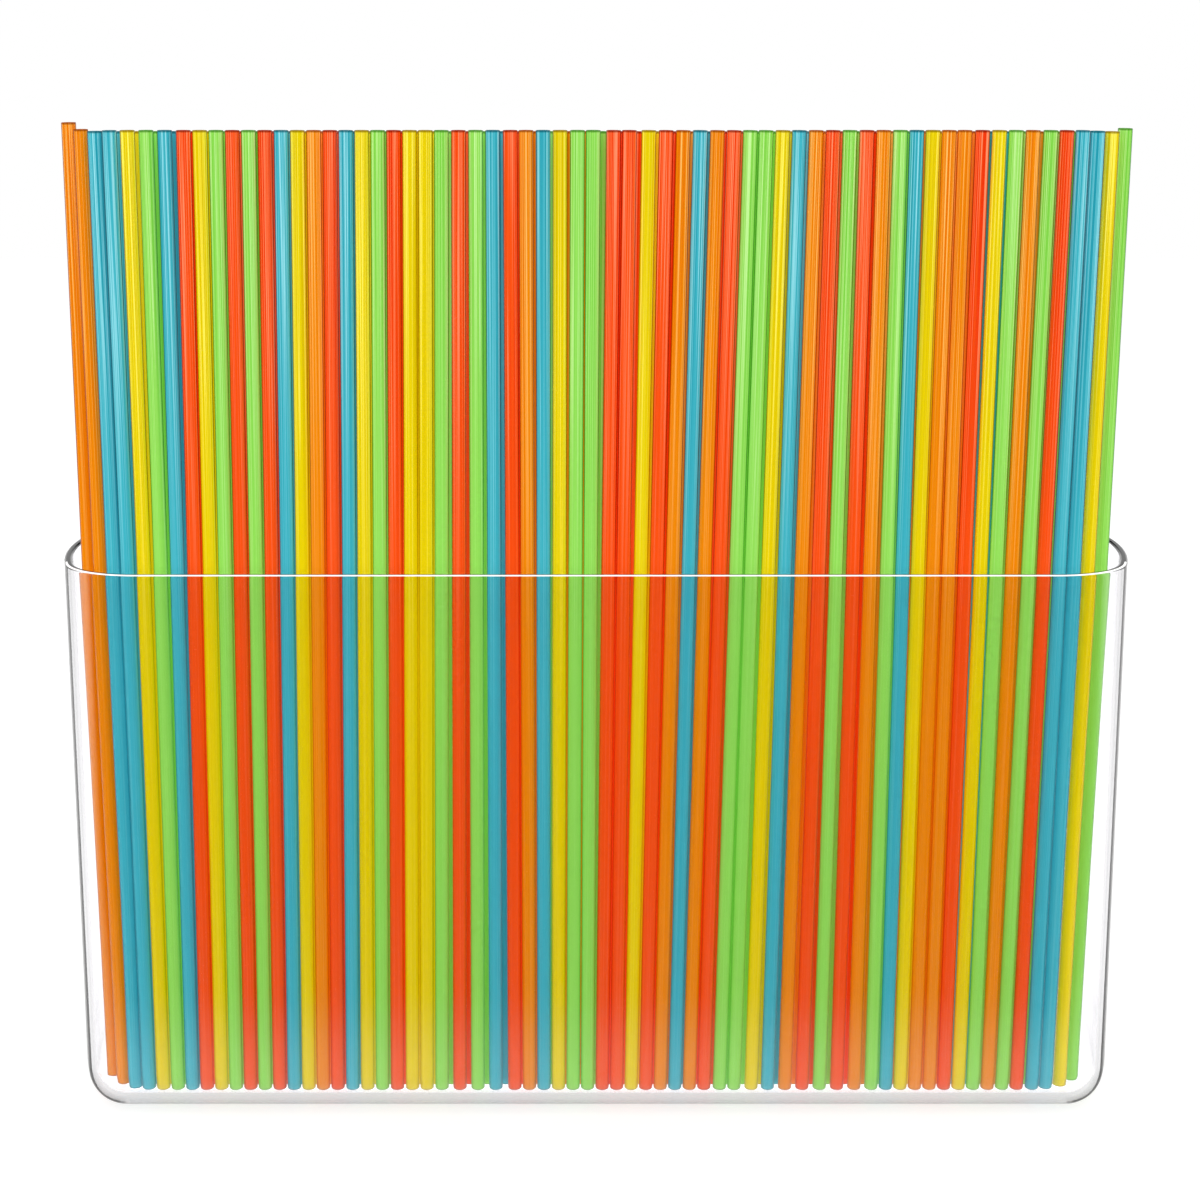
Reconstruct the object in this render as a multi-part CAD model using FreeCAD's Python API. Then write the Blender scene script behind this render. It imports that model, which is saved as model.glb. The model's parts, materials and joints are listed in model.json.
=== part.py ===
"""An open clear bin with a dense standing row of slim drinking straws, in millimetres.

The origin is the middle of the underside. X runs along the bin, -Y is its front and +Z is up.
Each straw stands on the rounded inner edge of the floor and leans on the inside of the front rim.
"""
import FreeCAD, Part
import math
import os
from dataclasses import dataclass

# Bin
rim_width = 227.5
rim_depth = 72.0
bin_height = 116.0
wall = 1.6
floor_thickness = 2.0
draft_angle = 1.0
end_bow_angle = 18.0
rim_corner_radius = 17.6
base_corner_radius = 8.6
base_edge_radius = 8.0
rim_edge_radius = 0.5

# Straws
straw_length = 203.0
straw_diameter = 2.9
straw_wall = 0.2

# Row of straws
side_gap = 0.12
rest_gap = 0.1
back_gap = 0.2
foot_inset = 2.0
foot_distance = 6.15
left_end_inset = 6.05
right_end_inset = 8.05
side_lean = 4.2
lift_clearance = 3.0

# One overrun serves every cut, and one tolerance every search for an edge
overrun = 1.0
edge_tolerance = 0.01

COLOUR_NAMES = {"O": "orange", "T": "teal", "Y": "yellow", "G": "green", "R": "red"}
FRONT_ROW = "OOTTYGTRYGRGRTYORTYGRYYGRGTROTYGGRRYROTORGGYTORGROGTYOORYGOGRTTYG"
# A straw of the second row stands behind the gap that follows this place of the front row
SECOND_ROW = {28: "R", 30: "G", 31: "O", 32: "O", 33: "G", 40: "R", 52: "O", 56: "T", 57: "T", 61: "G"}
# Behind every other gap stands a straw of the colour to its left, except at the ends of the row
BARE_GAPS = (1, 2, 3, 62, 63, 64)
# Straws of one colour that stand no further apart than this many places form one bunch
bunch_places = 1.5

# How far the straws lean along the row: place in the row, 0 to 1, and the share of side_lean
LEAN_SHARES = (
    (0.00, -0.07),
    (0.05, -0.05),
    (0.11, 0.46),
    (0.25, 0.66),
    (0.36, 0.58),
    (0.43, 0.08),
    (0.50, 0.34),
    (0.55, 0.70),
    (0.63, 1.00),
    (0.69, 0.78),
    (0.78, 0.26),
    (0.84, 0.34),
    (0.94, 0.66),
    (1.00, 0.56),
)

# Derived sizes
base_width = rim_width - 2 * bin_height * math.tan(math.radians(draft_angle))
base_depth = rim_depth - 2 * bin_height * math.tan(math.radians(draft_angle))
cavity_edge_radius = base_edge_radius - wall
bow_turn = math.radians(end_bow_angle)
straw_radius = straw_diameter / 2
straw_bore_radius = straw_radius - straw_wall
lift_travel = bin_height - floor_thickness + lift_clearance
lift_reach = (straw_length + lift_travel) / straw_length


@dataclass(frozen=True)
class Place:
    """Where one straw stands: its place number, its colour letter and its row (0 front, 1 second)."""

    number: float
    colour: str
    row: int


@dataclass(frozen=True)
class Straw:
    """One straw: the middle of its foot and the unit vector up its axis."""

    foot: FreeCAD.Vector
    axis: FreeCAD.Vector


@dataclass(frozen=True)
class Bunch:
    """Straws of one colour side by side, all parallel, which are lifted out together."""

    name: str
    colour: str
    straws: tuple


def between(low, high, share):
    """The value at this share of the way from low to high."""
    return low + (high - low) * share


def outline_sizes(height, inset):
    """Half width, half depth and corner radius of the bin at this height, inset from its outside."""
    share = height / bin_height
    half_width = between(base_width, rim_width, share) / 2 - inset
    half_depth = between(base_depth, rim_depth, share) / 2 - inset
    radius = between(base_corner_radius, rim_corner_radius, share) - inset
    return half_width, half_depth, radius


def bowed_end(half_width, half_depth, radius):
    """The bowed end's radius and the X of its centre, and the centre of the corner that it runs into.

    The end's arc turns through end_bow_angle each way, and there the corner's arc takes over.
    """
    bow_radius = radius + (half_depth - radius) / math.sin(bow_turn)
    bow_x = half_width - bow_radius
    corner_x = bow_x + (bow_radius - radius) * math.cos(bow_turn)
    return bow_radius, bow_x, corner_x, half_depth - radius


def rounded_outline(height, inset):
    """A closed level outline: straight front and back, round corners and softly bowed ends."""
    half_width, half_depth, radius = outline_sizes(height, inset)
    corner_x, corner_y = bowed_end(half_width, half_depth, radius)[2:]

    def on_corner(x_sign, y_sign, turn):
        """The point of a corner's arc where the outline faces this far round from X."""
        x = corner_x + radius * math.cos(turn)
        y = corner_y + radius * math.sin(turn)
        return FreeCAD.Vector(x_sign * x, y_sign * y, height)

    turns = (math.pi / 2, (math.pi / 2 + bow_turn) / 2, bow_turn)
    edges = []
    for side in (1, -1):
        stops = [on_corner(side, -side, turn) for turn in turns]
        stops.append(FreeCAD.Vector(side * half_width, 0, height))
        stops += [on_corner(side, side, turn) for turn in reversed(turns)]
        if edges:
            edges.append(Part.LineSegment(edges[-1].lastVertex().Point, stops[0]).toShape())
        for first in (0, 2, 4):
            edges.append(Part.Arc(*stops[first : first + 3]).toShape())
    edges.append(Part.LineSegment(edges[-1].lastVertex().Point, edges[0].firstVertex().Point).toShape())
    return Part.Wire(edges)


def edges_at(solid, height):
    """The edges of a solid that lie wholly at this height."""
    return [
        edge
        for edge in solid.Edges
        if abs(edge.BoundBox.ZMin - height) < edge_tolerance
        and abs(edge.BoundBox.ZMax - height) < edge_tolerance
    ]


def make_bin():
    """The one-piece bin: a drafted shell with round corners, a rounded base edge and a soft rim."""
    outside = Part.makeLoft([rounded_outline(0, 0), rounded_outline(bin_height, 0)], True, True)
    outside = outside.makeFillet(base_edge_radius, edges_at(outside, 0))
    cavity_top = bin_height + overrun
    cavity = Part.makeLoft(
        [rounded_outline(floor_thickness, wall), rounded_outline(cavity_top, wall)], True, True
    )
    cavity = cavity.makeFillet(cavity_edge_radius, edges_at(cavity, floor_thickness))
    shell = outside.cut(cavity)
    return shell.makeFillet(rim_edge_radius, edges_at(shell, bin_height))


def lean_at(number):
    """How far a straw's top stands to the right of its foot, from its place in the row."""
    share = (number - 1) / (len(FRONT_ROW) - 1)
    for (left, left_lean), (right, right_lean) in zip(LEAN_SHARES, LEAN_SHARES[1:]):
        if share <= right:
            return side_lean * between(left_lean, right_lean, (share - left) / (right - left))
    return side_lean * LEAN_SHARES[-1][1]


def all_places():
    """Every straw's place, in both rows, along the row."""
    front = [Place(number, colour, 0) for number, colour in enumerate(FRONT_ROW, start=1)]
    second = [Place(gap + 1 / 2, colour, 1) for gap, colour in SECOND_ROW.items()]
    return sorted(front + second, key=lambda place: place.number)


def bunched(places):
    """The places in bunches: one colour, each no more than bunch_places from the next."""
    bunches = []
    for place in places:
        for bunch in bunches:
            if bunch[-1].colour == place.colour and place.number - bunch[-1].number <= bunch_places:
                bunch.append(place)
                break
        else:
            bunches.append([place])
    return bunches


def followers(bunch):
    """The places behind the gaps to the right of a bunch's front straws, where no other straw stands."""
    taken = {*SECOND_ROW, *BARE_GAPS, len(FRONT_ROW)}
    front = [place for place in bunch if place.row == 0 and place.number not in taken]
    return [Place(place.number + 1 / 2, place.colour, 1) for place in front]


def bunch_lean(bunch):
    """The lean that the straws of a bunch share: that of its middle place."""
    return lean_at(sum(place.number for place in bunch) / len(bunch))


def row_leans(bunches, row):
    """The lean of each straw of a row, by place number, from left to right."""
    leans = {}
    for bunch in bunches:
        for place in bunch + followers(bunch):
            if place.row == row:
                leans[place.number] = bunch_lean(bunch)
    return dict(sorted(leans.items()))


def least_spacing(left_lean, right_lean):
    """How far apart two neighbours of a row stand at the foot, to be clear over their whole lift."""
    return straw_diameter + side_gap + max(0, left_lean - right_lean) * lift_reach


def front_feet(bunches):
    """X of each front straw's foot, by place number, from the left end of the row.

    Neighbours stand least_spacing apart. The room that is left to the right end of the row is
    shared out evenly between the gaps that another straw stands behind.
    """
    leans = row_leans(bunches, 0)
    numbers = list(leans)
    reach = [0]
    for left, right in zip(numbers, numbers[1:]):
        reach.append(reach[-1] + least_spacing(leans[left], leans[right]))
    half_width = outline_sizes(floor_thickness, wall)[0]
    row_length = 2 * half_width - left_end_inset - right_end_inset
    spare = max(0, row_length - reach[-1]) / (len(numbers) - 1 - len(BARE_GAPS))
    feet = {}
    x = left_end_inset - half_width
    for number, along in zip(numbers, reach):
        feet[number] = x + along
        if number not in BARE_GAPS:
            x += spare
    return feet


def second_feet(bunches, front):
    """X of each second straw's foot, by place number: half way between two front feet.

    Where the straw to its left comes too close, it stands further right.
    """
    leans = row_leans(bunches, 1)
    feet = {}
    for number, lean in leans.items():
        x = (front[math.floor(number)] + front[math.ceil(number)]) / 2
        if feet:
            last = max(feet)
            x = max(x, feet[last] + least_spacing(leans[last], lean))
        feet[number] = x
    return feet


def front_line(x, half_width, half_depth, radius):
    """Y of the front of an outline at x, and None beyond its ends."""
    bow_radius, bow_x, corner_x, corner_y = bowed_end(half_width, half_depth, radius)
    past_straight = abs(x) - corner_x
    if past_straight <= 0:
        return -half_depth
    if past_straight <= radius * math.cos(bow_turn):
        return -corner_y - math.sqrt(radius**2 - past_straight**2)
    if abs(x) >= half_width:
        return None
    return -math.sqrt(bow_radius**2 - (abs(x) - bow_x) ** 2)


def wall_distance(x, y, height):
    """How far a point in the front half of the bin lies inside the inner wall."""
    half_width, half_depth, radius = outline_sizes(height, wall)
    bow_radius, bow_x, corner_x, corner_y = bowed_end(half_width, half_depth, radius)
    past_x = abs(x) - corner_x
    past_y = -y - corner_y
    if past_x > 0 and past_y > past_x * math.tan(bow_turn):
        return radius - math.hypot(past_x, past_y)
    return min(half_depth + y, bow_radius - math.hypot(abs(x) - bow_x, y))


def floor_rise(distance):
    """How high the rounded inner edge of the floor is at this distance from the wall."""
    if distance >= cavity_edge_radius:
        return 0
    return cavity_edge_radius - math.sqrt(cavity_edge_radius**2 - (cavity_edge_radius - distance) ** 2)


def foot_line(x):
    """Y of the line that the straws' feet stand on, or None beyond its ends.

    It runs foot_distance behind the front wall, and further back where the bowed end comes too close.
    """
    inset_line = front_line(x, *outline_sizes(floor_thickness, wall + foot_inset + straw_radius))
    if inset_line is None:
        return None
    return max(inset_line, foot_distance - outline_sizes(floor_thickness, wall)[1])


def rim_line(x):
    """Y of the line that the straws' axes pass through where they lean on the rim."""
    return front_line(x, *outline_sizes(bin_height, wall + rest_gap + straw_radius))


def stand_straw(x, lean, row):
    """A straw with its foot at x, leaning on the front rim, or None where the bin has no room.

    Near a corner the foot stands further back, so that the straw leans forward at least as much
    as those in the middle. A straw of the second row stands right behind, on the first row.
    """
    rim_x = x + lean * bin_height / straw_length
    if foot_line(x) is None or rim_line(rim_x) is None:
        return None
    behind = row * (straw_diameter + back_gap)
    rim_y = rim_line(rim_x)
    foot_y = max(foot_line(x), rim_y + foot_line(0) - rim_line(0))
    tilt = (foot_y - rim_y) / bin_height
    foot_clearance = wall_distance(x, foot_y + behind, floor_thickness) - straw_radius
    foot_z = floor_thickness + floor_rise(foot_clearance) + rest_gap + straw_radius * tilt
    foot = FreeCAD.Vector(x, foot_y + behind, foot_z)
    axis = FreeCAD.Vector(rim_x, rim_y + behind, bin_height) - foot
    return Straw(foot, axis.normalize())


def bunch_name(bunch):
    """A name from the colour and the places: red_straws_08, or green_straws_30_34 for a wider bunch."""
    colour = COLOUR_NAMES[bunch[0].colour]
    first = math.floor(bunch[0].number)
    last = math.ceil(bunch[-1].number)
    if first == last:
        return f"{colour}_straws_{first:02d}"
    return f"{colour}_straws_{first:02d}_{last:02d}"


def make_layout():
    """Every bunch of straws that the bin has room for, parallel within the bunch."""
    bunches = bunched(all_places())
    front = front_feet(bunches)
    feet = {**front, **second_feet(bunches, front)}
    layout = []
    for bunch in bunches:
        lean = bunch_lean(bunch)
        straws = []
        for place in bunch + followers(bunch):
            straw = stand_straw(feet[place.number], lean, place.row)
            if straw:
                straws.append(straw)
        if straws:
            upright = max(straws, key=lambda straw: straw.axis.y).axis
            parallel = tuple(Straw(straw.foot, upright) for straw in straws)
            layout.append(Bunch(bunch_name(bunch), COLOUR_NAMES[bunch[0].colour], parallel))
    return layout


def make_straw(straw):
    """A thin round tube, cut square at both ends."""
    tube = Part.makeCylinder(straw_radius, straw_length, straw.foot, straw.axis)
    bore_start = straw.foot - straw.axis * overrun
    bore = Part.makeCylinder(straw_bore_radius, straw_length + 2 * overrun, bore_start, straw.axis)
    return tube.cut(bore)


def make_bunch(bunch):
    """The straws of a bunch, each a solid of its own."""
    tubes = [make_straw(straw) for straw in bunch.straws]
    return tubes[0] if len(tubes) == 1 else Part.makeCompound(tubes)


def main():
    """Write the bin and every bunch of straws to parts/."""
    os.makedirs("parts", exist_ok=True)
    make_bin().exportStep("parts/bin.step")
    layout = make_layout()
    for bunch in layout:
        make_bunch(bunch).exportStep(f"parts/{bunch.name}.step")
    count = sum(len(bunch.straws) for bunch in layout)
    print(f"{count} straws in {len(layout)} bunches, lifted by {lift_travel:.1f} mm")


if __name__ == "__main__":
    main()
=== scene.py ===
"""Dresses an open clear bin with a standing row of translucent straws, and builds its studio and camera.

All lengths are in metres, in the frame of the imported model: X along the row, Y away from the viewer, Z up.
"""

import json
import logging
import math
from dataclasses import dataclass
from enum import Enum

import bpy
import numpy as np
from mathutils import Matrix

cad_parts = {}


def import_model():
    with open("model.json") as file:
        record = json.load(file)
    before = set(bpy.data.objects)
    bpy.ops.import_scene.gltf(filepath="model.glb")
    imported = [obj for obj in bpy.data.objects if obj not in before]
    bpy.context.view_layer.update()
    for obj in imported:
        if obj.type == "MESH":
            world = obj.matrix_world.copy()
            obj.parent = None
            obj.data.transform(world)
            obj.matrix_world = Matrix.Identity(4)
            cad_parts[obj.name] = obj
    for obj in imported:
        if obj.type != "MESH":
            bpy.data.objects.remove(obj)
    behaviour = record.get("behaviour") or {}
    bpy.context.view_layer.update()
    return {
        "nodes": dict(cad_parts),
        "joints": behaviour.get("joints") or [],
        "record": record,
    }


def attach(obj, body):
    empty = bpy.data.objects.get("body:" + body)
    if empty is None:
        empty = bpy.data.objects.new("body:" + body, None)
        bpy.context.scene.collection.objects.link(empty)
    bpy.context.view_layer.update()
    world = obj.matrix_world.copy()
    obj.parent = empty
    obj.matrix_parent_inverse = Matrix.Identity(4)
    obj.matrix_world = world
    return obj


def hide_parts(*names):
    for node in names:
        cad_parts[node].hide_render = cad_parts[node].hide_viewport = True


LOG = logging.getLogger("straw_bin")
MM = 0.001
QUARTER_TURN = math.pi / 2
STRAW_LENGTH = 203.0 * MM
CLEAR_PLASTIC_IOR = 1.49
STRAW_PLASTIC_IOR = 1.45
MERGE_DIGITS = 7
NUMBER_STEP = 0.37

# The Mix node's colour sockets go by number, because their names repeat.
MIX_SHARE, MIX_FIRST, MIX_SECOND, MIX_RESULT = 0, 6, 7, 2

Colour = tuple[float, float, float, float]
Span = tuple[float, float]
Socket = bpy.types.NodeSocket


class Plastic(Enum):
    """The five pigments of the straws, named as their nodes and slots begin."""

    ORANGE = "orange"
    TEAL = "teal"
    YELLOW = "yellow"
    GREEN = "green"
    RED = "red"


def linear(red: float, green: float, blue: float) -> Colour:
    """Turns a display colour into the linear colour that a shader takes, by the sRGB curve.

    Args:
        red: display red, 0 to 255.
        green: display green, 0 to 255.
        blue: display blue, 0 to 255.

    Returns:
        Linear red, green and blue, and an alpha of 1.
    """
    shares = np.array([red, green, blue]) / 255
    low = shares / 12.92
    high = ((shares + 0.055) / 1.055) ** 2.4
    return (*np.where(shares <= 0.04045, low, high).tolist(), 1.0)


@dataclass
class NodeSheet:
    """One node tree that is being laid out, with short calls to add, fill and join its nodes."""

    tree: bpy.types.NodeTree

    def add(self, kind: str, **settings: object) -> bpy.types.Node:
        """Adds a node.

        Args:
            kind: the node's type name.
            **settings: attributes of the node to set, such as its operation.

        Returns:
            The new node.
        """
        node = self.tree.nodes.new(kind)
        for name, value in settings.items():
            setattr(node, name, value)
        return node

    def join(self, source: Socket, target: Socket) -> None:
        """Links an output socket to an input socket."""
        self.tree.links.new(source, target)

    def fill(self, node: bpy.types.Node, values: dict[str, object]) -> None:
        """Sets or joins a node's inputs.

        Args:
            node: the node.
            values: for each input's name, a plain value, or a socket to join to it.
        """
        for name, value in values.items():
            if isinstance(value, Socket):
                self.join(value, node.inputs[name])
            else:
                node.inputs[name].default_value = value

    def sum_up(self, operation: str, first: Socket | float, second: Socket | float) -> Socket:
        """Adds a Math node of two values.

        Args:
            operation: the Math node's operation.
            first: a socket or a number.
            second: a socket or a number.

        Returns:
            The result's socket.
        """
        node = self.add("ShaderNodeMath", operation=operation)
        for value, socket in zip((first, second), node.inputs):
            if isinstance(value, Socket):
                self.join(value, socket)
            else:
                socket.default_value = value
        return node.outputs[0]

    def map_range(self, value: Socket, old: Span, new: Span) -> Socket:
        """Adds a clamped and smoothed Map Range node.

        Args:
            value: the socket to map.
            old: the range that it comes in.
            new: the range that it goes out in.

        Returns:
            The result's socket.
        """
        node = self.add("ShaderNodeMapRange", clamp=True, interpolation_type="SMOOTHSTEP")
        ends = {"From Min": old[0], "From Max": old[1], "To Min": new[0], "To Max": new[1]}
        self.fill(node, {"Value": value, **ends})
        return node.outputs["Result"]

    def blend(self, share: Socket, first: Socket, second: Socket | Colour) -> Socket:
        """Adds a Mix node of two colours.

        Args:
            share: how much of the second colour.
            first: the first colour's socket.
            second: the second colour, as a socket or plain.

        Returns:
            The mixed colour's socket.
        """
        node = self.add("ShaderNodeMix", data_type="RGBA")
        self.join(share, node.inputs[MIX_SHARE])
        self.join(first, node.inputs[MIX_FIRST])
        if isinstance(second, Socket):
            self.join(second, node.inputs[MIX_SECOND])
        else:
            node.inputs[MIX_SECOND].default_value = second
        return node.outputs[MIX_RESULT]

    def group_sockets(self, given: dict[str, Colour | float | None]) -> None:
        """Names the sockets of the surface group that this sheet is.

        Its outputs are a colour, a roughness and a height.

        Args:
            given: for each input's name, the colour or number that it holds when nothing is joined to
                it, or None for a vector.
        """
        kinds = {tuple: "NodeSocketColor", float: "NodeSocketFloat", type(None): "NodeSocketVector"}
        for name, value in given.items():
            socket = self.tree.interface.new_socket(name, in_out="INPUT", socket_type=kinds[type(value)])
            if value is not None:
                socket.default_value = value
        outputs = {"Color": "NodeSocketColor", "Roughness": "NodeSocketFloat", "Height": "NodeSocketFloat"}
        for name, kind in outputs.items():
            self.tree.interface.new_socket(name, in_out="OUTPUT", socket_type=kind)


def new_group(name: str) -> NodeSheet:
    """The sheet of a new and empty node group."""
    return NodeSheet(bpy.data.node_groups.new(name, "ShaderNodeTree"))


def new_material(name: str) -> tuple[bpy.types.Material, NodeSheet]:
    """Makes an empty node material.

    Args:
        name: the material's name.

    Returns:
        The material and the sheet of its node tree.
    """
    material = bpy.data.materials.new(name)
    material.use_nodes = True
    material.node_tree.nodes.clear()
    return material, NodeSheet(material.node_tree)


@dataclass(frozen=True)
class DrawnLinesAndHighlights:
    """The fine lines that extrusion draws along a tube, with painted highlights on them.

    A noise goes round the tube on the circle of its angle, so it closes on itself. It drifts slowly
    along it, and each tube's number shifts it. A thin light line runs where the noise crosses its
    middle value: an extrusion line with a painted highlight of the lamps on it. The pigment is deeper
    where it is far from it. Both fade towards the foot, which is painted light: the highlights stay on
    the upper part of the tube, which mirrors the lamps. The light line also makes the height, and is a
    little rougher.
    """

    scale: float = 3.4
    detail: float = 1.0
    roughness: float = 0.6
    middle: float = 0.5
    drift: float = 1.2
    number_shift: float = 7.31
    line_highlight_band: Span = (0.01, 0.055)
    deep_band: Span = (0.055, 0.2)
    fade: Span = (0.09, 0.2)
    foot_share: float = 0.1
    rougher: float = 0.1

    def group(self) -> bpy.types.NodeTree:
        """Builds the node group.

        Returns:
            A group of the angle circle, the height along the tube and three colours.
        """
        sheet = new_group("drawn_lines_and_highlights")
        colours = {"Pigment": (0.5, 0.5, 0.5, 1.0), "Line Highlight": (0.8, 0.8, 0.8, 1.0)}
        colours["Deep Line"] = (0.3, 0.3, 0.3, 1.0)
        sheet.group_sockets({"Around": None, "Along": 0.0, **colours, "Strength": 1.0, "Gloss": 0.2})
        given = sheet.add("NodeGroupInput").outputs
        result = sheet.add("NodeGroupOutput")

        place = sheet.add("ShaderNodeSeparateXYZ")
        sheet.join(given["Around"], place.inputs[0])
        shift = sheet.sum_up("MULTIPLY", place.outputs["Z"], self.number_shift)
        drift = sheet.sum_up("MULTIPLY", given["Along"], self.drift)
        circle = sheet.add("ShaderNodeCombineXYZ")
        across = {"X": place.outputs["X"], "Y": place.outputs["Y"]}
        sheet.fill(circle, {**across, "Z": sheet.sum_up("ADD", shift, drift)})
        noise = sheet.add("ShaderNodeTexNoise")
        sheet.fill(noise, {"Scale": self.scale, "Detail": self.detail, "Roughness": self.roughness})
        sheet.join(circle.outputs[0], noise.inputs["Vector"])
        side = sheet.sum_up("SUBTRACT", noise.outputs["Fac"], self.middle)
        off = sheet.sum_up("ABSOLUTE", side, 0.0)

        # The fade towards the foot is painted light: the highlights stay on the upper part.
        fade = sheet.map_range(given["Along"], self.fade, (self.foot_share, 1.0))
        share = sheet.sum_up("MULTIPLY", fade, given["Strength"])
        line = sheet.sum_up("MULTIPLY", sheet.map_range(off, self.line_highlight_band, (1.0, 0.0)), share)
        hollow = sheet.sum_up("MULTIPLY", sheet.map_range(off, self.deep_band, (0.0, 1.0)), share)
        lightened = sheet.blend(line, given["Pigment"], given["Line Highlight"])
        colour = sheet.blend(hollow, lightened, given["Deep Line"])
        rough = sheet.sum_up("ADD", given["Gloss"], sheet.sum_up("MULTIPLY", line, self.rougher))
        sheet.fill(result, {"Color": colour, "Roughness": rough, "Height": line})
        return sheet.tree


@dataclass(frozen=True)
class HandledSurface:
    """A polished moulding that has been handled: a slow wave and fine scuffs.

    The wave is a coarse noise on the object's own coordinates, and makes the height. The scuffs are a
    fine noise stretched along the height of the piece, kept only where it is strong. They change the
    tint and raise the roughness.
    """

    wave_scale: float = 22.0
    scuff_scale: float = 900.0
    scuff_detail: float = 3.0
    scuff_stretch: tuple[float, float, float] = (1.0, 1.0, 0.2)
    scuff_band: Span = (0.6, 0.8)

    def group(self) -> bpy.types.NodeTree:
        """Builds the node group.

        Returns:
            A group of two tints, a gloss and the strength of the scuffs.
        """
        sheet = new_group("handled_surface")
        tints = {"Tint": (0.9, 0.9, 0.9, 1.0), "Scuffed Tint": (0.8, 0.8, 0.8, 1.0)}
        sheet.group_sockets({**tints, "Gloss": 0.02, "Scuffs": 0.1})
        given = sheet.add("NodeGroupInput").outputs
        result = sheet.add("NodeGroupOutput")
        place = sheet.add("ShaderNodeTexCoord").outputs["Object"]
        wave = sheet.add("ShaderNodeTexNoise")
        sheet.fill(wave, {"Vector": place, "Scale": self.wave_scale, "Detail": 0.0})
        stretch = sheet.add("ShaderNodeMapping")
        sheet.fill(stretch, {"Vector": place, "Scale": self.scuff_stretch})
        fine = sheet.add("ShaderNodeTexNoise")
        sheet.fill(fine, {"Scale": self.scuff_scale, "Detail": self.scuff_detail})
        sheet.join(stretch.outputs[0], fine.inputs["Vector"])
        scuff = sheet.map_range(fine.outputs["Fac"], self.scuff_band, (0.0, 1.0))
        worn = sheet.sum_up("MULTIPLY", scuff, given["Scuffs"])
        colour = sheet.blend(worn, given["Tint"], given["Scuffed Tint"])
        rough = sheet.sum_up("ADD", given["Gloss"], worn)
        sheet.fill(result, {"Color": colour, "Roughness": rough, "Height": wave.outputs["Fac"]})
        return sheet.tree


def add_bump(sheet: NodeSheet, height: Socket, distance: float) -> Socket:
    """Adds a bump.

    Args:
        sheet: the material's sheet.
        height: the socket of the height, as a share.
        distance: how high a share of 1 stands.

    Returns:
        The bent normal's socket.
    """
    bump = sheet.add("ShaderNodeBump")
    sheet.fill(bump, {"Strength": 1.0, "Distance": distance, "Height": height})
    return bump.outputs["Normal"]


def finish_with_lamps_let_through(sheet: NodeSheet, body: bpy.types.Node, shade: Colour) -> None:
    """Joins a see-through body to the output so that light from the lamps passes it, tinted.

    Args:
        sheet: the material's sheet.
        body: the shader that every ray but a lamp's sees.
        shade: the tint that it gives to the lamps' light.
    """
    passing = sheet.add("ShaderNodeBsdfTransparent")
    sheet.fill(passing, {"Color": shade})
    mix = sheet.add("ShaderNodeMixShader")
    sheet.join(sheet.add("ShaderNodeLightPath").outputs["Is Shadow Ray"], mix.inputs[0])
    sheet.join(body.outputs[0], mix.inputs[1])
    sheet.join(passing.outputs[0], mix.inputs[2])
    sheet.join(mix.outputs[0], sheet.add("ShaderNodeOutputMaterial").inputs["Surface"])


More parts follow.
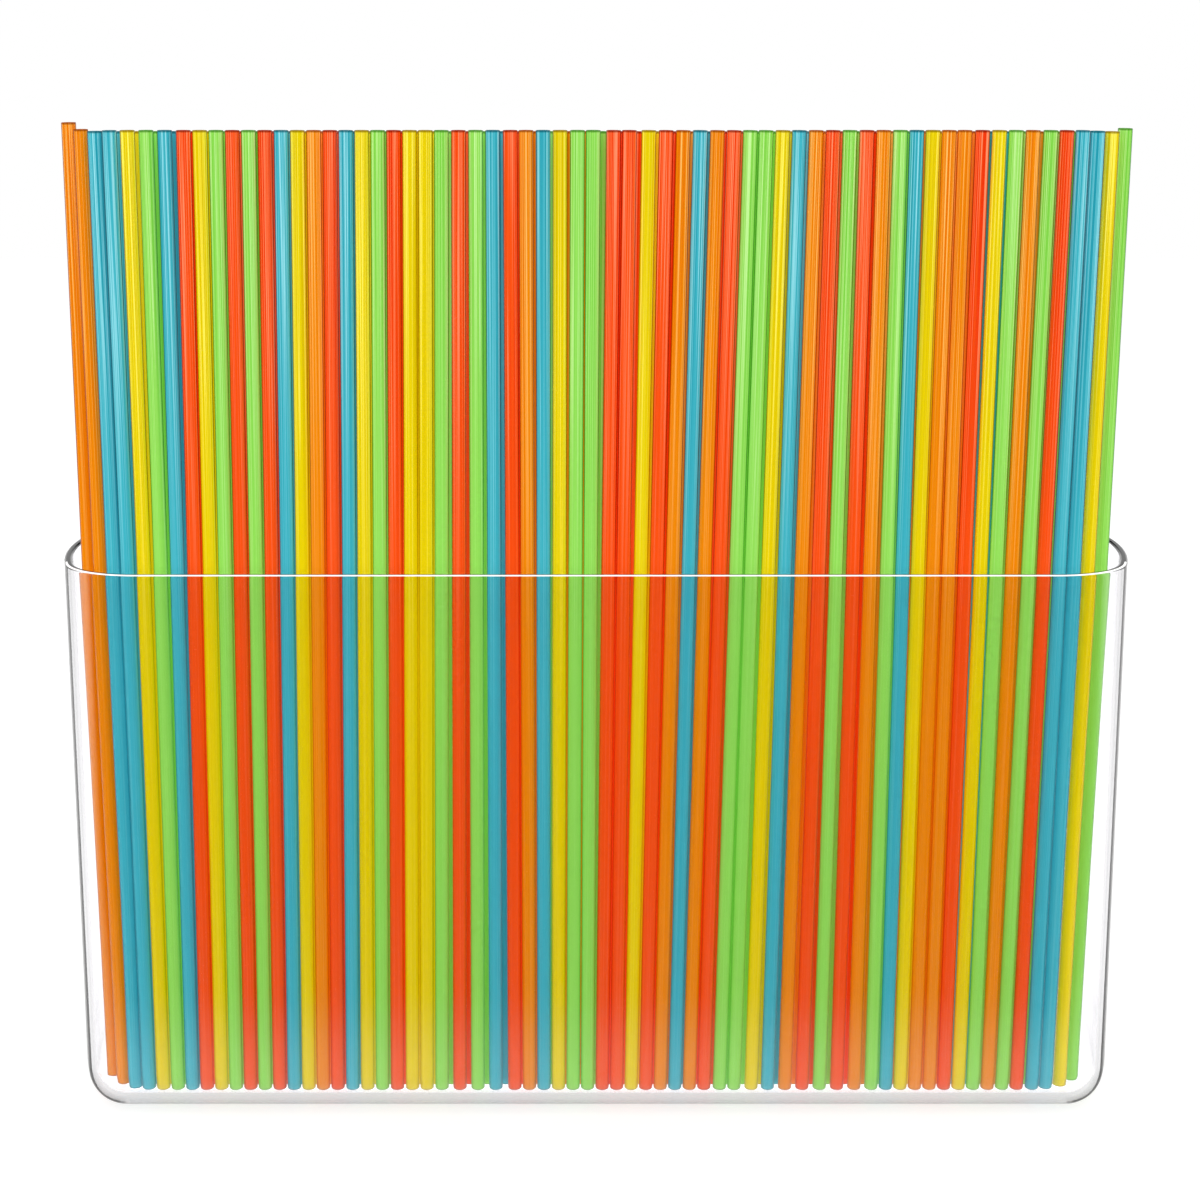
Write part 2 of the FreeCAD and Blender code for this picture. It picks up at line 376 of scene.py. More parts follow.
@dataclass(frozen=True)
class StrawFinish:
    """Translucent extruded plastic of one pigment, with fine lines along it and painted highlights on them.

    Towards the tube's two sides the colour turns to a dark edge colour: painted shade of the turned
    sides, and partly the deeper pigment where the wall is seen through a longer way. This painted shade
    is stronger above the bin's rim than inside it. The colour is darker at the two cut ends too. A faint
    painted glow in the tube's own colour lightens it all over.
    """

    plastic: Plastic
    pigment: Colour
    # The colour of the light lines: extrusion lines with a painted highlight on them.
    line_highlight: Colour
    deep_line: Colour
    # The dark colour at the sides and ends: painted shade, partly deeper pigment.
    edge: Colour
    shade: Colour
    clearness: float = 0.3
    shine: float = 0.2
    gloss: float = 0.16
    # A faint glow in the tube's own colour: painted light, not a lamp.
    painted_glow: float = 0.2
    line_strength: float = 0.9
    line_height: float = 0.012 * MM
    side_band: Span = (0.4, 0.68)
    rim_band: Span = (0.09, 0.14)
    share_below_rim: float = 0.35
    top_band: Span = (STRAW_LENGTH - 0.45 * MM, STRAW_LENGTH - 0.2 * MM)
    top_share: float = 0.75
    foot_band: Span = (0.2 * MM, 0.5 * MM)
    foot_share: float = 0.45

    def depth(self, sheet: NodeSheet, along: Socket) -> Socket:
        """Adds the share of the dark edge colour: painted shade at the sides, partly deeper pigment, and
        darker ends.

        Args:
            sheet: the material's sheet.
            along: the height along the tube.

        Returns:
            The larger of the share at the tube's two sides and the share at its two ends.
        """
        turned = sheet.add("ShaderNodeLayerWeight").outputs["Facing"]
        outline = sheet.map_range(turned, self.side_band, (0.0, 1.0))
        above = sheet.map_range(along, self.rim_band, (self.share_below_rim, 1.0))
        top = sheet.map_range(along, self.top_band, (0.0, self.top_share))
        foot = sheet.map_range(along, self.foot_band, (self.foot_share, 0.0))
        ends = sheet.sum_up("MAXIMUM", top, foot)
        return sheet.sum_up("MAXIMUM", sheet.sum_up("MULTIPLY", outline, above), ends)

    def material(self, lines: bpy.types.NodeTree) -> bpy.types.Material:
        """Builds the material.

        Args:
            lines: the group of the extrusion lines and their painted highlights.

        Returns:
            A Principled plastic with a faint painted glow in its own colour, which lets the lamps' light
            through, tinted.
        """
        material, sheet = new_material(f"{self.plastic.value}_straw_plastic")
        around = sheet.add("ShaderNodeAttribute", attribute_name="around").outputs["Vector"]
        along = sheet.add("ShaderNodeAttribute", attribute_name="along").outputs["Fac"]
        lines_and_highlights = sheet.add("ShaderNodeGroup", node_tree=lines)
        colours = {"Pigment": self.pigment, "Line Highlight": self.line_highlight, "Deep Line": self.deep_line}
        sheet.fill(lines_and_highlights, {"Around": around, "Along": along, **colours})
        sheet.fill(lines_and_highlights, {"Strength": self.line_strength, "Gloss": self.gloss})
        # The blend towards the edge colour paints shade on the sides and darkens the ends.
        colour = sheet.blend(self.depth(sheet, along), lines_and_highlights.outputs["Color"], self.edge)
        body = sheet.add("ShaderNodeBsdfPrincipled")
        sheet.fill(body, {"IOR": STRAW_PLASTIC_IOR, "Specular IOR Level": self.shine})
        # The emission in the tube's own colour is a painted glow.
        sheet.fill(body, {"Transmission Weight": self.clearness, "Emission Strength": self.painted_glow})
        sheet.fill(body, {"Base Color": colour, "Emission Color": colour})
        sheet.join(lines_and_highlights.outputs["Roughness"], body.inputs["Roughness"])
        ribs = add_bump(sheet, lines_and_highlights.outputs["Height"], self.line_height)
        sheet.join(ribs, body.inputs["Normal"])
        finish_with_lamps_let_through(sheet, body, self.shade)
        return material


@dataclass(frozen=True)
class ClearFinish:
    """Clear moulded plastic, polished inside and out, a little handled."""

    tint: Colour = (0.97, 0.965, 0.98, 1.0)
    scuffed: Colour = (0.9, 0.9, 0.91, 1.0)
    shade: Colour = (0.99, 0.99, 0.99, 1.0)
    gloss: float = 0.01
    scuffs: float = 0.06
    wave_height: float = 0.008 * MM

    def material(self, surface: bpy.types.NodeTree) -> bpy.types.Material:
        """Builds the material.

        Args:
            surface: the handled surface group.

        Returns:
            A clear Principled plastic that lets the lamps' light through.
        """
        material, sheet = new_material("clear_moulded_plastic")
        handled = sheet.add("ShaderNodeGroup", node_tree=surface)
        sheet.fill(handled, {"Tint": self.tint, "Scuffed Tint": self.scuffed})
        sheet.fill(handled, {"Gloss": self.gloss, "Scuffs": self.scuffs})
        body = sheet.add("ShaderNodeBsdfPrincipled")
        sheet.fill(body, {"IOR": CLEAR_PLASTIC_IOR, "Transmission Weight": 1.0})
        sheet.join(handled.outputs["Color"], body.inputs["Base Color"])
        sheet.join(handled.outputs["Roughness"], body.inputs["Roughness"])
        wave = add_bump(sheet, handled.outputs["Height"], self.wave_height)
        sheet.join(wave, body.inputs["Normal"])
        finish_with_lamps_let_through(sheet, body, self.shade)
        return material


@dataclass(frozen=True)
class PaintedEdgeGlow:
    """The upper part of the rim's outer edge along the front, painted white with a glow of its own: a
    painted highlight that stands for the light which the wall carries up to it.
    """

    tint: Colour = (0.96, 0.95, 0.95, 1.0)
    scuffed: Colour = (0.9, 0.88, 0.88, 1.0)
    gloss: float = 0.25
    scuffs: float = 0.2
    # The edge's own light: a painted glow, not a lamp.
    glow: float = 0.35

    def material(self, surface: bpy.types.NodeTree) -> bpy.types.Material:
        """Builds the material.

        Args:
            surface: the handled surface group.

        Returns:
            A white Principled plastic with a little painted glow of its own.
        """
        material, sheet = new_material("painted_white_edge_glow")
        handled = sheet.add("ShaderNodeGroup", node_tree=surface)
        sheet.fill(handled, {"Tint": self.tint, "Scuffed Tint": self.scuffed})
        sheet.fill(handled, {"Gloss": self.gloss, "Scuffs": self.scuffs})
        body = sheet.add("ShaderNodeBsdfPrincipled")
        sheet.fill(body, {"IOR": CLEAR_PLASTIC_IOR, "Emission Strength": self.glow})
        sheet.join(handled.outputs["Color"], body.inputs["Base Color"])
        sheet.join(handled.outputs["Color"], body.inputs["Emission Color"])
        sheet.join(handled.outputs["Roughness"], body.inputs["Roughness"])
        sheet.join(body.outputs[0], sheet.add("ShaderNodeOutputMaterial").inputs["Surface"])
        return material


@dataclass(frozen=True)
class GridSurface:
    """A surface of points on a two-way grid, with values that its material reads at each point."""

    points: np.ndarray
    closed_up: bool
    around: np.ndarray | None = None
    along: np.ndarray | None = None

    def faces(self, first: int) -> np.ndarray:
        """Works out the quads, each from a point to the next round, up, and back.

        The second way of the grid always closes on itself. The first does if closed_up is set.

        Args:
            first: the number of the grid's first point in its mesh.

        Returns:
            Point numbers, four to a row.
        """
        ups, rounds = self.points.shape[:2]
        number = np.arange(ups * rounds).reshape(ups, rounds) + first
        low = number if self.closed_up else number[:-1]
        high = np.roll(number, -1, axis=0) if self.closed_up else number[1:]
        quads = [low, np.roll(low, -1, axis=1), np.roll(high, -1, axis=1), high]
        return np.stack(quads, axis=-1).reshape(-1, 4)


def make_piece(name: str, grids: list[GridSurface], caps: list[np.ndarray]) -> bpy.types.Object:
    """Puts grids and flat caps into one smooth mesh object at the origin.

    Args:
        name: the piece's name.
        grids: the surfaces, whose points are numbered one grid after the other.
        caps: flat faces as rows of point numbers.

    Returns:
        The linked object.
    """
    points = np.concatenate([grid.points.reshape(-1, 3) for grid in grids])
    starts = np.cumsum([0] + [grid.points.shape[0] * grid.points.shape[1] for grid in grids])
    quads = np.concatenate([grid.faces(int(start)) for grid, start in zip(grids, starts)])
    mesh = bpy.data.meshes.new(name)
    mesh.from_pydata(points.tolist(), [], quads.tolist() + [cap.tolist() for cap in caps])
    if grids[0].around is not None:
        around = np.concatenate([grid.around.reshape(-1, 3) for grid in grids])
        layer = mesh.attributes.new("around", "FLOAT_VECTOR", "POINT")
        layer.data.foreach_set("vector", around.astype(np.float32).ravel())
    if grids[0].along is not None:
        along = np.concatenate([grid.along.ravel() for grid in grids])
        layer = mesh.attributes.new("along", "FLOAT", "POINT")
        layer.data.foreach_set("value", along.astype(np.float32))
    mesh.shade_smooth()
    mesh.validate()
    piece = bpy.data.objects.new(name, mesh)
    bpy.context.scene.collection.objects.link(piece)
    return piece


@dataclass(frozen=True)
class Straw:
    """One tube, from the middle of its foot along its axis."""

    foot: np.ndarray
    axis: np.ndarray
    length: float
    outer_radius: float
    wall: float
    number: float
    sides: int = 32
    lip_steps: int = 5

    def profile(self) -> np.ndarray:
        """Works out the wall's section as a closed loop with half-round lips.

        The loop runs up the outside, over the top lip, down the bore and round the foot's lip. Each lip
        is a half circle as wide as the wall.

        Returns:
            Rows of distance from the axis and distance from the foot.
        """
        lip = self.wall / 2
        middle = self.outer_radius - lip
        turn = np.linspace(0.0, math.pi, self.lip_steps)
        top = np.stack([middle + lip * np.cos(turn), self.length - lip + lip * np.sin(turn)], axis=1)
        foot = np.stack([middle - lip * np.cos(turn), lip - lip * np.sin(turn)], axis=1)
        return np.concatenate([top, foot])

    def surface(self) -> GridSurface:
        """Carries the wall's section round the axis.

        Each point is the foot, plus its height along the axis, plus its distance from the axis in the
        direction of its angle.

        Returns:
            The closed tube with its angle circle and its height at each point.
        """
        across = np.cross(self.axis, [0.0, 1.0, 0.0])
        across /= np.linalg.norm(across)
        beside = np.cross(self.axis, across)
        angle = np.arange(self.sides) * 2 * math.pi / self.sides
        outward = np.cos(angle)[:, None] * across + np.sin(angle)[:, None] * beside
        radius, height = self.profile().T
        points = self.foot + height[:, None, None] * self.axis + radius[:, None, None] * outward
        circle = np.stack([np.cos(angle), np.sin(angle), np.full(self.sides, self.number)], axis=1)
        around = np.broadcast_to(circle, points.shape)
        along = np.broadcast_to(height[:, None], points.shape[:2])
        return GridSurface(points, True, around, along)


def tube_labels(faces: np.ndarray) -> np.ndarray:
    """Numbers the separate tubes of a mesh.

    Corners that share a triangle take the lower of their numbers until nothing changes, which leaves
    one number for each tube.

    Args:
        faces: corner numbers, three to a row.

    Returns:
        For each corner, its tube's number.
    """
    labels = np.arange(faces.max() + 1)
    while True:
        lowest = labels[faces].min(axis=1)
        renewed = labels.copy()
        np.minimum.at(renewed, faces.ravel(), np.repeat(lowest, 3))
        if np.array_equal(renewed, labels):
            return labels
        labels = renewed


@dataclass(frozen=True)
class StrawBunch:
    """The straws of one node, which lift together."""

    node: str
    body: str
    plastic: Plastic
    straws: list[Straw]

    @classmethod
    def from_frame(cls, node: str, body: str, axis: np.ndarray, cad: bpy.types.Object) -> "StrawBunch":
        """Reads a bunch's straws from its solids in the frame.

        The triangles' corners are merged by place and sorted by tube. A tube's middle is the mean of
        its corners, its ends are its lowest and highest corners along the axis, and its radii are the
        nearest and furthest corners from the axis. Its number, for its lines, comes from the node's
        name.

        Args:
            node: the node's name.
            body: the body that it belongs to.
            axis: the way in which it lifts, along its straws.
            cad: the node's object.

        Returns:
            The bunch.
        """
        mesh = cad.data
        mesh.calc_loop_triangles()
        corners = np.zeros(len(mesh.vertices) * 3)
        mesh.vertices.foreach_get("co", corners)
        faces = np.zeros(len(mesh.loop_triangles) * 3, dtype=np.int64)
        mesh.loop_triangles.foreach_get("vertices", faces)
        corners = corners.reshape(-1, 3)
        _, merged = np.unique(np.round(corners, MERGE_DIGITS), axis=0, return_inverse=True)
        merged = merged.reshape(-1)
        tube_of_corner = tube_labels(merged[faces].reshape(-1, 3))[merged]
        colour_name, _, first_number = node.split("_")[:3]
        straws = []
        for count, tube in enumerate(np.unique(tube_of_corner)):
            own = np.unique(np.round(corners[tube_of_corner == tube], MERGE_DIGITS), axis=0)
            height = own @ axis
            flat = own - height[:, None] * axis
            middle = flat.mean(axis=0)
            distance = np.linalg.norm(flat - middle, axis=1)
            straws.append(
                Straw(
                    foot=middle + height.min() * axis,
                    axis=axis,
                    length=float(height.max() - height.min()),
                    outer_radius=float(distance.max()),
                    wall=float(distance.max() - distance.min()),
                    number=float(first_number) + NUMBER_STEP * count,
                )
            )
        return cls(node, body, Plastic(colour_name), straws)

    def build(self, material: bpy.types.Material) -> bpy.types.Object:
        """Makes the bunch's tubes as one piece in place of its node.

        Args:
            material: the straws' plastic.

        Returns:
            The dressed piece.
        """
        piece = make_piece(f"{self.node}_tubes", [straw.surface() for straw in self.straws], [])
        piece.data.materials.append(material)
        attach(piece, self.body)
        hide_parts(self.node)
        return piece


@dataclass(frozen=True)
class ClearBin:
    """The one-piece bin: a drafted shell with bowed ends, a rounded base edge and a soft rim."""

    node: str = "bin"
    rim_width: float = 227.5 * MM
    rim_depth: float = 72.0 * MM
    height: float = 116.0 * MM
    wall: float = 1.6 * MM
    floor: float = 2.0 * MM
    draft: float = math.radians(1.0)
    bow: float = math.radians(18.0)
    rim_corner: float = 17.6 * MM
    base_corner: float = 8.6 * MM
    base_edge: float = 8.0 * MM
    rim_edge: float = 0.5 * MM
    corner_steps: int = 28
    bow_steps: int = 12
    edge_steps: int = 16
    wall_steps: int = 9
    straight_places: tuple[float, ...] = (0.004, 0.03, 0.12, 0.3, 0.5, 0.7, 0.88, 0.97, 0.996)
    guard: float = 0.25 * MM
    bright_edge_share: float = 0.42
    bright_front_share: float = 0.85

    def arc(self, radius: float, middle: Span, start: float, end: float) -> np.ndarray:
        """Works out rows of place across and height on an arc of the section.

        Args:
            radius: the arc's radius.
            middle: its centre's place across and height.
            start: the angle that it starts at.
            end: the angle that it ends at.

        Returns:
            The rows, start to end.
        """
        angle = np.linspace(start, end, self.edge_steps)
        return np.stack([middle[0] + radius * np.cos(angle), middle[1] + radius * np.sin(angle)], axis=1)

    def rise(self, low: float, high: float, inset: float) -> np.ndarray:
        """Works out rows up or down a wall line of the section, with a guard row near each end.

        Args:
            low: the height that the line starts at.
            high: the height that it ends at.
            inset: the line's inset.

        Returns:
            The rows of place across and height.
        """
        step = math.copysign(self.guard, high - low)
        between = np.linspace(low, high, self.wall_steps)[1:-1]
        heights = np.concatenate([[low + step], between, [high - step]])
        return np.stack([math.tan(self.draft) * heights - inset, heights], axis=1)

    def section(self) -> np.ndarray:
        """Works out the shell's half section, as distances inside the outer wall line at that height.

        It runs from the underside round the base edge, up the outer wall, over the rim, down the inner
        wall and round the cavity's edge to the floor. Each rounded edge is an arc that is tangent to
        the level face and to the leaning wall. Close to each arc stands a guard row, so that the flat
        faces keep their own direction.

        Returns:
            Rows of height and inset.
        """
        slope = math.tan(self.draft)
        lean = self.draft
        cavity_edge = self.base_edge - self.wall
        foot_middle = (slope * self.base_edge - self.base_edge / math.cos(lean), self.base_edge)
        rim_height = self.height - self.rim_edge
        outer_middle = (slope * rim_height - self.rim_edge / math.cos(lean), rim_height)
        inner_middle = (slope * rim_height - self.wall + self.rim_edge / math.cos(lean), rim_height)
        floor_height = self.floor + cavity_edge
        floor_middle = (slope * floor_height - self.wall - cavity_edge / math.cos(lean), floor_height)
        foot_arc = self.arc(self.base_edge, foot_middle, -QUARTER_TURN, -lean)
        outer_arc = self.arc(self.rim_edge, outer_middle, -lean, QUARTER_TURN)
        inner_arc = self.arc(self.rim_edge, inner_middle, QUARTER_TURN, math.pi - lean)
        floor_arc = self.arc(cavity_edge, floor_middle, -lean, -QUARTER_TURN)
        rows = [
            foot_arc[:1] - [self.guard, 0.0],
            foot_arc,
            self.rise(foot_arc[-1, 1], outer_arc[0, 1], 0.0),
            outer_arc,
            inner_arc,
            self.rise(inner_arc[-1, 1], floor_arc[0, 1], self.wall),
            floor_arc,
            floor_arc[-1:] - [self.guard, 0.0],
        ]
        across, heights = np.concatenate(rows).T
        return np.stack([heights, slope * heights - across], axis=1)

    def surface(self) -> GridSurface:
        """Carries the section round the bin's outline.

        A point of the outline is the centre of its arc plus the arc's radius in the direction of its
        turn: first the end's wide bow, whose centre is level with the middle of the bin, and past the
        bow's turn the corner. Along the straight back the turn stays, and the centre runs across. The
        front half is the back half turned half way round. The half sizes and the corner's radius
        change evenly from base to rim, less the inset.

        Returns:
            The shell, open only at its flat underside and floor.
        """
        height, inset = self.section().T
        share = height / self.height
        shrink = self.height * math.tan(self.draft) * (1 - share)
        half_width = self.rim_width / 2 - shrink - inset
        half_depth = self.rim_depth / 2 - shrink - inset
        corner = self.base_corner + (self.rim_corner - self.base_corner) * share - inset
        end = corner + (half_depth - corner) / math.sin(self.bow)
        end_x = half_width - end
        corner_x = end_x + (end - corner) * math.cos(self.bow)
        round_turn = np.linspace(self.bow, QUARTER_TURN, self.corner_steps)[1:]
        turn = np.concatenate([np.linspace(0.0, self.bow, self.bow_steps), round_turn])
        straight = 1 - 2 * np.array(self.straight_places)
        side = np.concatenate([np.ones(turn.size), straight, -np.ones(turn.size - 1)])
        turn = np.concatenate([turn, np.full(straight.size, QUARTER_TURN), turn[:0:-1]])
        bowed = turn <= self.bow
        middle_x = np.where(bowed, end_x[:, None], corner_x[:, None])
        middle_y = np.where(bowed, 0.0, (half_depth - corner)[:, None])
        radius = np.where(bowed, end[:, None], corner[:, None])
        x = side * middle_x + np.sign(side) * radius * np.cos(turn)
        y = middle_y + radius * np.sin(turn)
        x, y = np.concatenate([x, -x], 1), np.concatenate([y, -y], 1)
        z = np.broadcast_to(height[:, None], x.shape)
        return GridSurface(np.stack([x, y, z], axis=-1), False)

    def bright_faces(self, shell: GridSurface) -> np.ndarray:
        """Finds the faces on the upper part of the rim's outer edge, along the front.

        Args:
            shell: the bin's surface.

        Returns:
            For each of its faces, whether it gathers light.
        """
        height, inset = self.section().T
        high = (height[1:] + height[:-1]) / 2 > self.height - self.bright_edge_share * self.rim_edge
        outside = (inset[1:] + inset[:-1]) / 2 < self.rim_edge
        depth = shell.points[-1, :, 1]
        front = depth < self.bright_front_share * depth.min()
        return ((high & outside)[:, None] & (front & np.roll(front, -1))).ravel()

    def build(self, clear: bpy.types.Material, bright: bpy.types.Material) -> bpy.types.Object:
        """Makes the bin as one closed piece in place of its node.

        Args:
            clear: the clear plastic.
            bright: the painted glow of the rim's edge, a painted highlight.

        Returns:
            The dressed piece.
        """
        shell = self.surface()
        rows, rounds = shell.points.shape[:2]
        caps = [np.arange(rounds)[::-1], np.arange(rounds) + (rows - 1) * rounds]
        piece = make_piece("bin_shell", [shell], caps)
        piece.data.materials.append(clear)
        piece.data.materials.append(bright)
        choice = np.concatenate([self.bright_faces(shell), np.zeros(len(caps), dtype=bool)])
        piece.data.polygons.foreach_set("material_index", choice.astype(np.int32))
        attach(piece, self.node)
        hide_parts(self.node)
        return piece


@dataclass(frozen=True)
class Lamp:
    """A soft rectangular lamp that looks at a point. No surface mirrors it or shows it through."""

    name: str
    place: tuple[float, float, float]
    target: tuple[float, float, float]
    width: float
    height: float
    watts: float

    def build(self) -> bpy.types.Object:
        """Makes the lamp.

        Returns:
            The lamp's object.
        """
        data = bpy.data.lights.new(self.name, "AREA")
        data.shape = "RECTANGLE"
        data.size = self.width
        data.size_y = self.height
        data.energy = self.watts
        lamp = bpy.data.objects.new(self.name, data)
        way = np.array(self.target) - np.array(self.place)
        level = math.hypot(way[0], way[1])
        lamp.visible_glossy = False
        lamp.visible_transmission = False
        lamp.location = self.place
        lamp.rotation_euler = (math.atan2(level, -way[2]), 0.0, math.atan2(way[1], way[0]) - QUARTER_TURN)
        bpy.context.scene.collection.objects.link(lamp)
        return lamp


@dataclass(frozen=True)
class Studio:
    """A pale floor and a surround that both show white, and soft lamps."""

    floor_size: float = 6.0
    floor_colour: float = 0.5
    floor_grain: float = 0.01
    grain_scale: float = 3.0
    floor_roughness: float = 0.9
    floor_lift: float = 0.64
    ambient: float = 0.75
    dark: float = 0.02
    side_tone: float = 0.4
    mirrored_tone: float = 0.45
    clear_lift: float = 1.6
    bent_tone: float = 0.75
    bounce_threshold: float = 0.5
    floor_front: Span = (-0.1, -0.035)
    room_behind: Span = (0.0, 0.4)
    low_white: Span = (0.15, 0.3)
    backdrop_white: Span = (0.4, 0.6)
    mirrored_white: Span = (0.1, 0.28)
    lamps: tuple[Lamp, ...] = (
        Lamp("overhead_lamp", (0.0, -0.15, 1.1), (0.0, 0.0, 0.1), 1.2, 0.7, 5.0),
        Lamp("far_left_lamp", (-0.42, -0.28, 0.16), (0.0, 0.0, 0.12), 0.06, 0.3, 0.25),
        Lamp("left_lamp", (-0.28, -0.42, 0.16), (0.0, 0.0, 0.12), 0.05, 0.3, 0.25),
        Lamp("right_lamp", (0.24, -0.45, 0.16), (0.0, 0.0, 0.12), 0.05, 0.3, 0.2),
        Lamp("far_right_lamp", (0.45, -0.25, 0.16), (0.0, 0.0, 0.12), 0.06, 0.3, 0.25),
    )

    def build(self) -> None:
        """Makes the floor, the surround and the lamps."""
        half = self.floor_size / 2
        mesh = bpy.data.meshes.new("studio_floor")
        corners = [(-half, -half, 0.0), (half, -half, 0.0), (half, half, 0.0), (-half, half, 0.0)]
        mesh.from_pydata(corners, [], [(0, 1, 2, 3)])
        floor = bpy.data.objects.new("studio_floor", mesh)
        bpy.context.scene.collection.objects.link(floor)
        mesh.materials.append(self.floor_material())
        self.surround()
        for lamp in self.lamps:
            lamp.build()

    def bent(self, sheet: NodeSheet) -> Socket:
        """A socket that is 1 for rays that were mirrored at least once, and else 0."""
        depth = sheet.add("ShaderNodeLightPath").outputs["Glossy Depth"]
        return sheet.sum_up("GREATER_THAN", depth, self.bounce_threshold)

    def kept(self, sheet: NodeSheet, behind: Socket) -> Socket:
        """Adds the share of the room's light that a ray finds there.

        Mirrored rays find none in front, where the room is dark, so no veil lies over the straws.

        Args:
            sheet: the sheet to add it to.
            behind: 1 behind the bin, 0 in front of it.

        Returns:
            A socket that is 1, but 0 in front for rays that were mirrored at least once.
        """
        front = sheet.sum_up("SUBTRACT", 1.0, behind)
        return sheet.sum_up("SUBTRACT", 1.0, sheet.sum_up("MULTIPLY", self.bent(sheet), front))

    def shown(self, sheet: NodeSheet, kept: Socket, mirrored_tone: float) -> Socket:
        """Adds the brightness with which the white background shows to each kind of ray.

        Straight rays see it white. Rays through the clear bin see it a little brighter, which makes up
        for what its faces mirror away, and darker where they were mirrored inside its wall.

        Args:
            sheet: the sheet to add it to.
            kept: the share of the room's light that the ray finds there.
            mirrored_tone: the brightness for rays that come straight from a mirroring face.

        Returns:
            A socket that is 1 for camera rays, the ray's brightness for mirrored and transmission rays,
            and else 0.
        """
        kind = sheet.add("ShaderNodeLightPath").outputs
        loss = sheet.sum_up("MULTIPLY", self.bent(sheet), self.clear_lift - self.bent_tone)
        clear = sheet.sum_up("SUBTRACT", self.clear_lift, loss)
        through = sheet.sum_up("MULTIPLY", clear, kind["Is Transmission Ray"])
        mirrored = sheet.sum_up("MULTIPLY", kind["Is Glossy Ray"], mirrored_tone)
        either = sheet.sum_up("MULTIPLY", sheet.sum_up("MAXIMUM", through, mirrored), kept)
        return sheet.sum_up("MAXIMUM", kind["Is Camera Ray"], either)

    def floor_material(self) -> bpy.types.Material:
        """Builds the pale floor, lifted to white where it is seen and not shaded.

        Returns:
            The material.
        """
        material, sheet = new_material("studio_white")
        grain = sheet.add("ShaderNodeTexNoise")
        sheet.fill(grain, {"Scale": self.grain_scale})
        tones = (self.floor_colour - self.floor_grain, self.floor_colour)
        tone = sheet.map_range(grain.outputs["Fac"], (0.0, 1.0), tones)
        place = sheet.add("ShaderNodeSeparateXYZ")
        sheet.join(sheet.add("ShaderNodeTexCoord").outputs["Object"], place.inputs[0])
        kept = self.kept(sheet, sheet.map_range(place.outputs["Y"], self.floor_front, (0.0, 1.0)))
        body = sheet.add("ShaderNodeBsdfPrincipled")
        sheet.fill(body, {"Roughness": self.floor_roughness, "Specular IOR Level": 0.0})
        sheet.join(sheet.sum_up("MULTIPLY", tone, kept), body.inputs["Base Color"])
        glow = sheet.add("ShaderNodeEmission")
        shown = self.shown(sheet, kept, self.mirrored_tone)
        sheet.join(sheet.sum_up("MULTIPLY", shown, self.floor_lift), glow.inputs["Strength"])
        added = sheet.add("ShaderNodeAddShader")
        sheet.join(body.outputs[0], added.inputs[0])
        sheet.join(glow.outputs[0], added.inputs[1])
        sheet.join(added.outputs[0], sheet.add("ShaderNodeOutputMaterial").inputs["Surface"])
        return material

    def surround(self) -> None:
        """Builds the world: plain light that shows as a white backdrop in a darker room.

        Rays through the clear bin see white up to a little above level, and higher up behind the bin.
        Mirrored rays see white only low behind it. The camera sees white everywhere.
        """
        world = bpy.data.worlds.new("studio_surround")
        bpy.context.scene.world = world
        world.use_nodes = True
        world.node_tree.nodes.clear()
        sheet = NodeSheet(world.node_tree)
        way = sheet.add("ShaderNodeSeparateXYZ")
        sheet.join(sheet.add("ShaderNodeTexCoord").outputs["Generated"], way.inputs[0])
        up = way.outputs["Z"]
        kind = sheet.add("ShaderNodeLightPath").outputs
        behind = sheet.map_range(way.outputs["Y"], self.room_behind, (0.0, 1.0))
        low = sheet.map_range(up, self.low_white, (1.0, self.side_tone))
        backdrop = sheet.map_range(up, self.backdrop_white, (1.0, self.side_tone))
        wall = sheet.sum_up("MAXIMUM", low, sheet.sum_up("MULTIPLY", backdrop, behind))
        wall = sheet.sum_up("MAXIMUM", wall, kind["Is Camera Ray"])
        through = sheet.sum_up("MULTIPLY", wall, self.shown(sheet, self.kept(sheet, behind), 0.0))
        level = sheet.map_range(up, self.mirrored_white, (1.0, self.dark))
        mirrored = sheet.sum_up("MAXIMUM", sheet.sum_up("MULTIPLY", level, behind), self.dark)
        glossy = sheet.sum_up("GREATER_THAN", kind["Is Glossy Ray"], kind["Is Transmission Ray"])
        mirrored = sheet.sum_up("MULTIPLY", mirrored, glossy)
        plain = sheet.sum_up("MULTIPLY", kind["Is Diffuse Ray"], self.ambient)
        strength = sheet.sum_up("ADD", sheet.sum_up("ADD", through, mirrored), plain)
        light = sheet.add("ShaderNodeBackground")
        sheet.fill(light, {"Color": (1.0, 1.0, 1.0, 1.0), "Strength": strength})
        sheet.join(light.outputs[0], sheet.add("ShaderNodeOutputWorld").inputs["Surface"])


@dataclass(frozen=True)
class FrontCamera:
    """The camera in front of the bin, level with the straws' tops."""

    place: tuple[float, float, float] = (0.0, -0.4720, 0.2055)
    pitch: float = math.radians(7.56)
    lens: float = 66.0
    sensor: float = 36.0
    shift: Span = (0.0033, -0.15)
    nearest: float = 10.0 * MM

    def build(self) -> None:
        """Makes the camera and gives it to the scene."""
        data = bpy.data.cameras.new("front_camera")
        data.lens = self.lens
        data.sensor_width = self.sensor
        data.shift_x, data.shift_y = self.shift
        data.clip_start = self.nearest
        camera = bpy.data.objects.new("front_camera", data)
        camera.location = self.place
        camera.rotation_euler = (QUARTER_TURN - self.pitch, 0.0, 0.0)
        bpy.context.scene.collection.objects.link(camera)
        bpy.context.scene.camera = camera


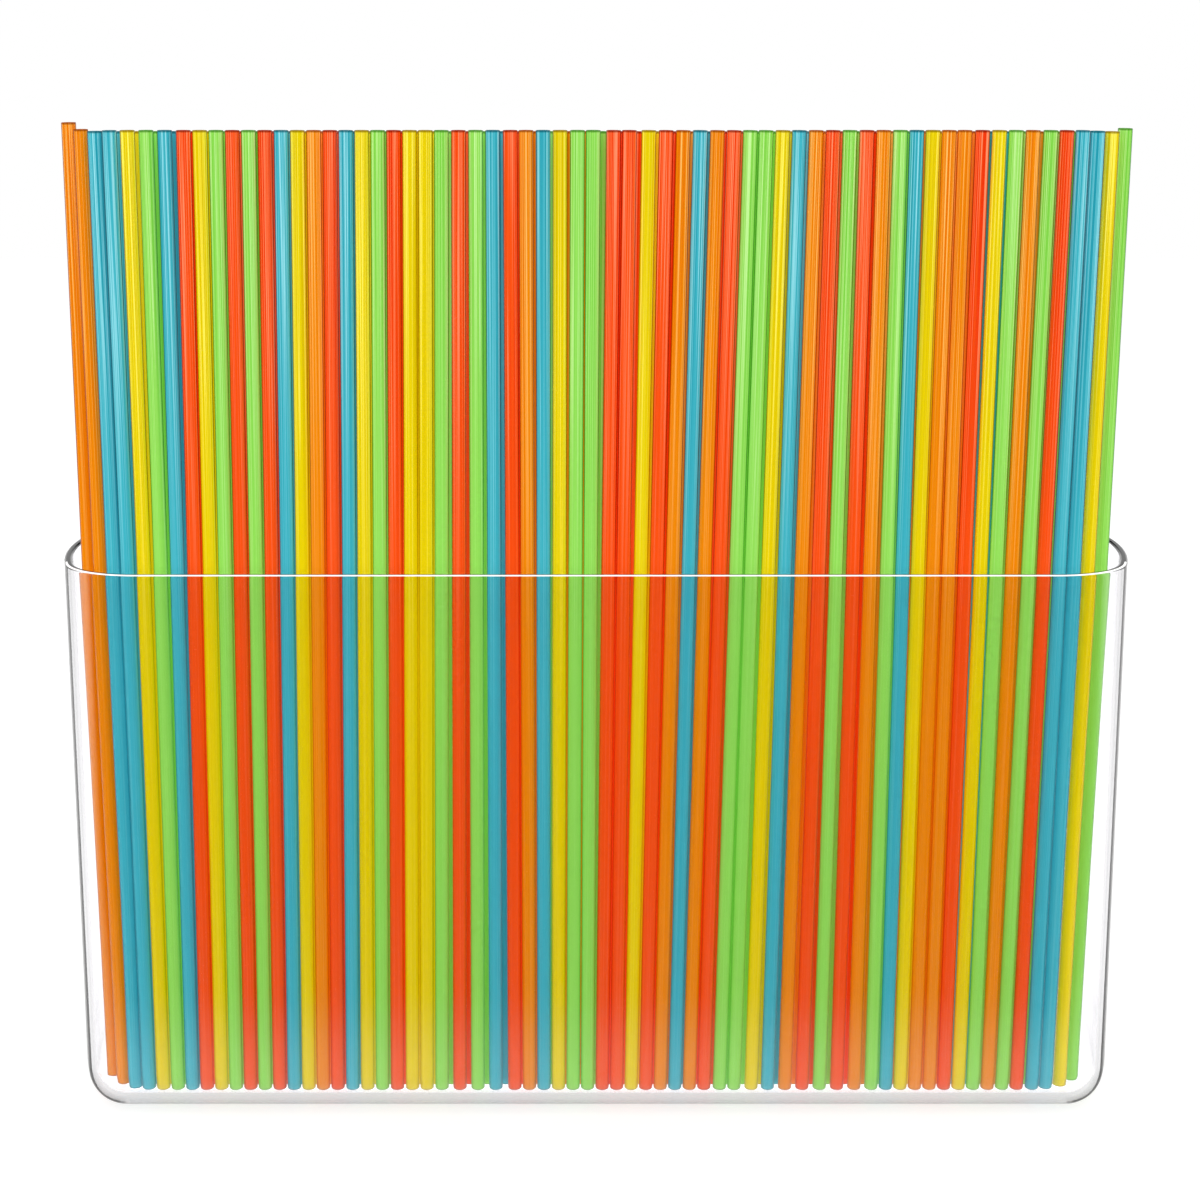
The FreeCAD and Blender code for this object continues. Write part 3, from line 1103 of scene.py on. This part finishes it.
STRAW_FINISHES = (
    StrawFinish(
        Plastic.ORANGE,
        pigment=linear(232, 146, 6),
        line_highlight=linear(255, 205, 115),
        deep_line=linear(222, 118, 0),
        edge=linear(140, 60, 0),
        shade=linear(240, 190, 110),
    ),
    StrawFinish(
        Plastic.TEAL,
        pigment=linear(70, 184, 198),
        line_highlight=linear(165, 230, 236),
        deep_line=linear(36, 156, 174),
        edge=linear(8, 84, 98),
        shade=linear(150, 215, 225),
    ),
    StrawFinish(
        Plastic.YELLOW,
        pigment=linear(228, 210, 2),
        line_highlight=linear(255, 246, 110),
        deep_line=linear(212, 188, 0),
        edge=linear(136, 106, 0),
        shade=linear(240, 232, 120),
    ),
    StrawFinish(
        Plastic.GREEN,
        pigment=linear(156, 220, 98),
        line_highlight=linear(206, 242, 165),
        deep_line=linear(124, 204, 68),
        edge=linear(50, 124, 22),
        shade=linear(190, 235, 150),
    ),
    StrawFinish(
        Plastic.RED,
        pigment=linear(238, 90, 20),
        line_highlight=linear(255, 160, 118),
        deep_line=linear(226, 52, 4),
        edge=linear(124, 14, 0),
        shade=linear(245, 150, 110),
    ),
)


def read_bunches(frame: dict) -> list[StrawBunch]:
    """Reads every bunch of straws from the frame, in the order of the joints.


    Returns:
        The bunches.
    """
    members = frame["record"]["behaviour"]["bodies"]
    bunches = []
    for joint in frame["joints"]:
        body = joint["child"]
        axis = np.array(joint["axis"], dtype=float)
        axis /= np.linalg.norm(axis)
        for node in members[body]:
            bunches.append(StrawBunch.from_frame(node, body, axis, frame["nodes"][node]))
    return bunches


def main() -> None:
    """Builds every piece in order."""
    logging.basicConfig(level=logging.INFO, format="%(message)s")
    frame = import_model()
    bpy.context.scene.view_settings.view_transform = "Standard"
    FrontCamera().build()
    Studio().build()

    handled = HandledSurface().group()
    bin_piece = ClearBin().build(ClearFinish().material(handled), PaintedEdgeGlow().material(handled))
    LOG.info("%s: %d faces", bin_piece.name, len(bin_piece.data.polygons))

    lines = DrawnLinesAndHighlights().group()
    plastics = {finish.plastic: finish.material(lines) for finish in STRAW_FINISHES}
    for bunch in read_bunches(frame):
        piece = bunch.build(plastics[bunch.plastic])
        LOG.info("%s: %d straws, %d faces", piece.name, len(bunch.straws), len(piece.data.polygons))


if __name__ == "__main__":
    main()
